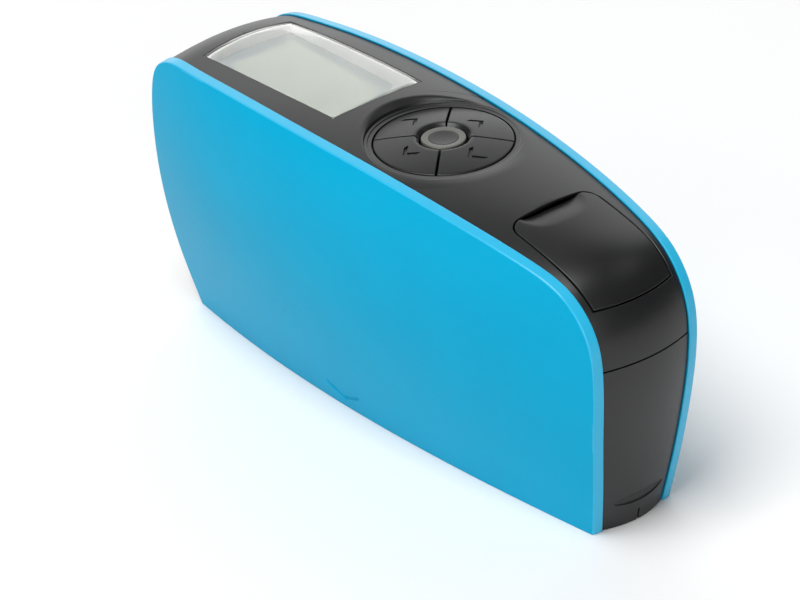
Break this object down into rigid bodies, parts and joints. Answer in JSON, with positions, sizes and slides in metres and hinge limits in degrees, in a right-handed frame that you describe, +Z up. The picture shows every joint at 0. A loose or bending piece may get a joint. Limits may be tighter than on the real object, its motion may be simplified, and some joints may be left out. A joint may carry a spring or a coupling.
{
  "type": "gloss meter",
  "caption": "Hand-held gloss meter: bowed side covers around a dark housing with a flush display, a round keypad, a battery door and a measuring aperture below.",
  "frame": {"origin": "middle of the flat base, under the centre of the bounding box", "axes": "+X from the display end to the battery end, +Z up, +Y to the left side"},
  "size_m": [0.1551, 0.0524, 0.0721],
  "materials": {
    "blue_plastic": "satin moulded",
    "dark_plastic": "fine satin",
    "key_plastic": "satin",
    "clear_plastic": "clear moulded",
    "pale_frame": "matt",
    "display_panel": "polarised film",
    "light_ring": "translucent",
    "grey_rubber": "matt",
    "board_green": "solder mask",
    "black_block": "light-absorbing matt black",
    "steel": "plated",
    "lens_glass": "polished",
    "sensor_can": "plated can",
    "lamp_body": "clear resin",
    "cell_wrap": "printed sleeve, plain"
  },
  "bodies": {
    "meter": {"battery_tray": "dark_plastic", "board_screw_1": "steel", "board_screw_2": "steel", "board_screw_3": "steel", "board_screw_4": "steel", "cell_back": "cell_wrap", "cell_front": "cell_wrap", "contact_plate": "steel", "contact_spring": "steel", "detector_20": "sensor_can", "detector_60": "sensor_can", "display_frame": "pale_frame", "display_panel": "display_panel", "display_window": "clear_plastic", "housing_screw_1": "steel", "housing_screw_2": "steel", "housing_screw_3": "steel", "housing_screw_4": "steel", "keypad_mat": "grey_rubber", "lamp_20": "lamp_body", "lamp_60": "lamp_body", "lens_detector_20": "lens_glass", "lens_detector_60": "lens_glass", "lens_lamp_20": "lens_glass", "lens_lamp_60": "lens_glass", "lower_housing": "dark_plastic", "main_board": "board_green", "optics_block": "black_block", "optics_screw_1": "steel", "optics_screw_2": "steel", "optics_screw_3": "steel", "optics_screw_4": "steel", "side_shell_left": "blue_plastic", "side_shell_right": "blue_plastic", "upper_housing": "dark_plastic"},
    "door": {"battery_door": "dark_plastic", "door_contact": "steel"},
    "front_key": {"key_front": "key_plastic"},
    "left_key": {"key_left": "key_plastic"},
    "back_key": {"key_back": "key_plastic"},
    "right_key": {"key_right": "key_plastic"},
    "centre_button": {"button_ring": "light_ring", "button_cap": "key_plastic"}
  },
  "joints": [
    {"name": "door_hinge", "type": "hinge", "parent": "meter", "child": "door", "pos_m": [0.07422, 0, 0.05667], "axis": [0, 1, 0], "range_deg": [0, 95]},
    {"name": "front_key_press", "type": "slide", "parent": "meter", "child": "front_key", "axis": [-0.0175, 0, -0.9998], "range_m": [0, 0.0006], "stiffness_N_per_m": 1200, "springref_m": -0.0003},
    {"name": "left_key_press", "type": "slide", "parent": "meter", "child": "left_key", "axis": [-0.0175, 0, -0.9998], "range_m": [0, 0.0006], "stiffness_N_per_m": 1200, "springref_m": -0.0003},
    {"name": "back_key_press", "type": "slide", "parent": "meter", "child": "back_key", "axis": [-0.0175, 0, -0.9998], "range_m": [0, 0.0006], "stiffness_N_per_m": 1200, "springref_m": -0.0003},
    {"name": "right_key_press", "type": "slide", "parent": "meter", "child": "right_key", "axis": [-0.0175, 0, -0.9998], "range_m": [0, 0.0006], "stiffness_N_per_m": 1200, "springref_m": -0.0003},
    {"name": "centre_button_press", "type": "slide", "parent": "meter", "child": "centre_button", "axis": [-0.0175, 0, -0.9998], "range_m": [0, 0.0005], "stiffness_N_per_m": 1200, "springref_m": -0.0003}
  ]
}
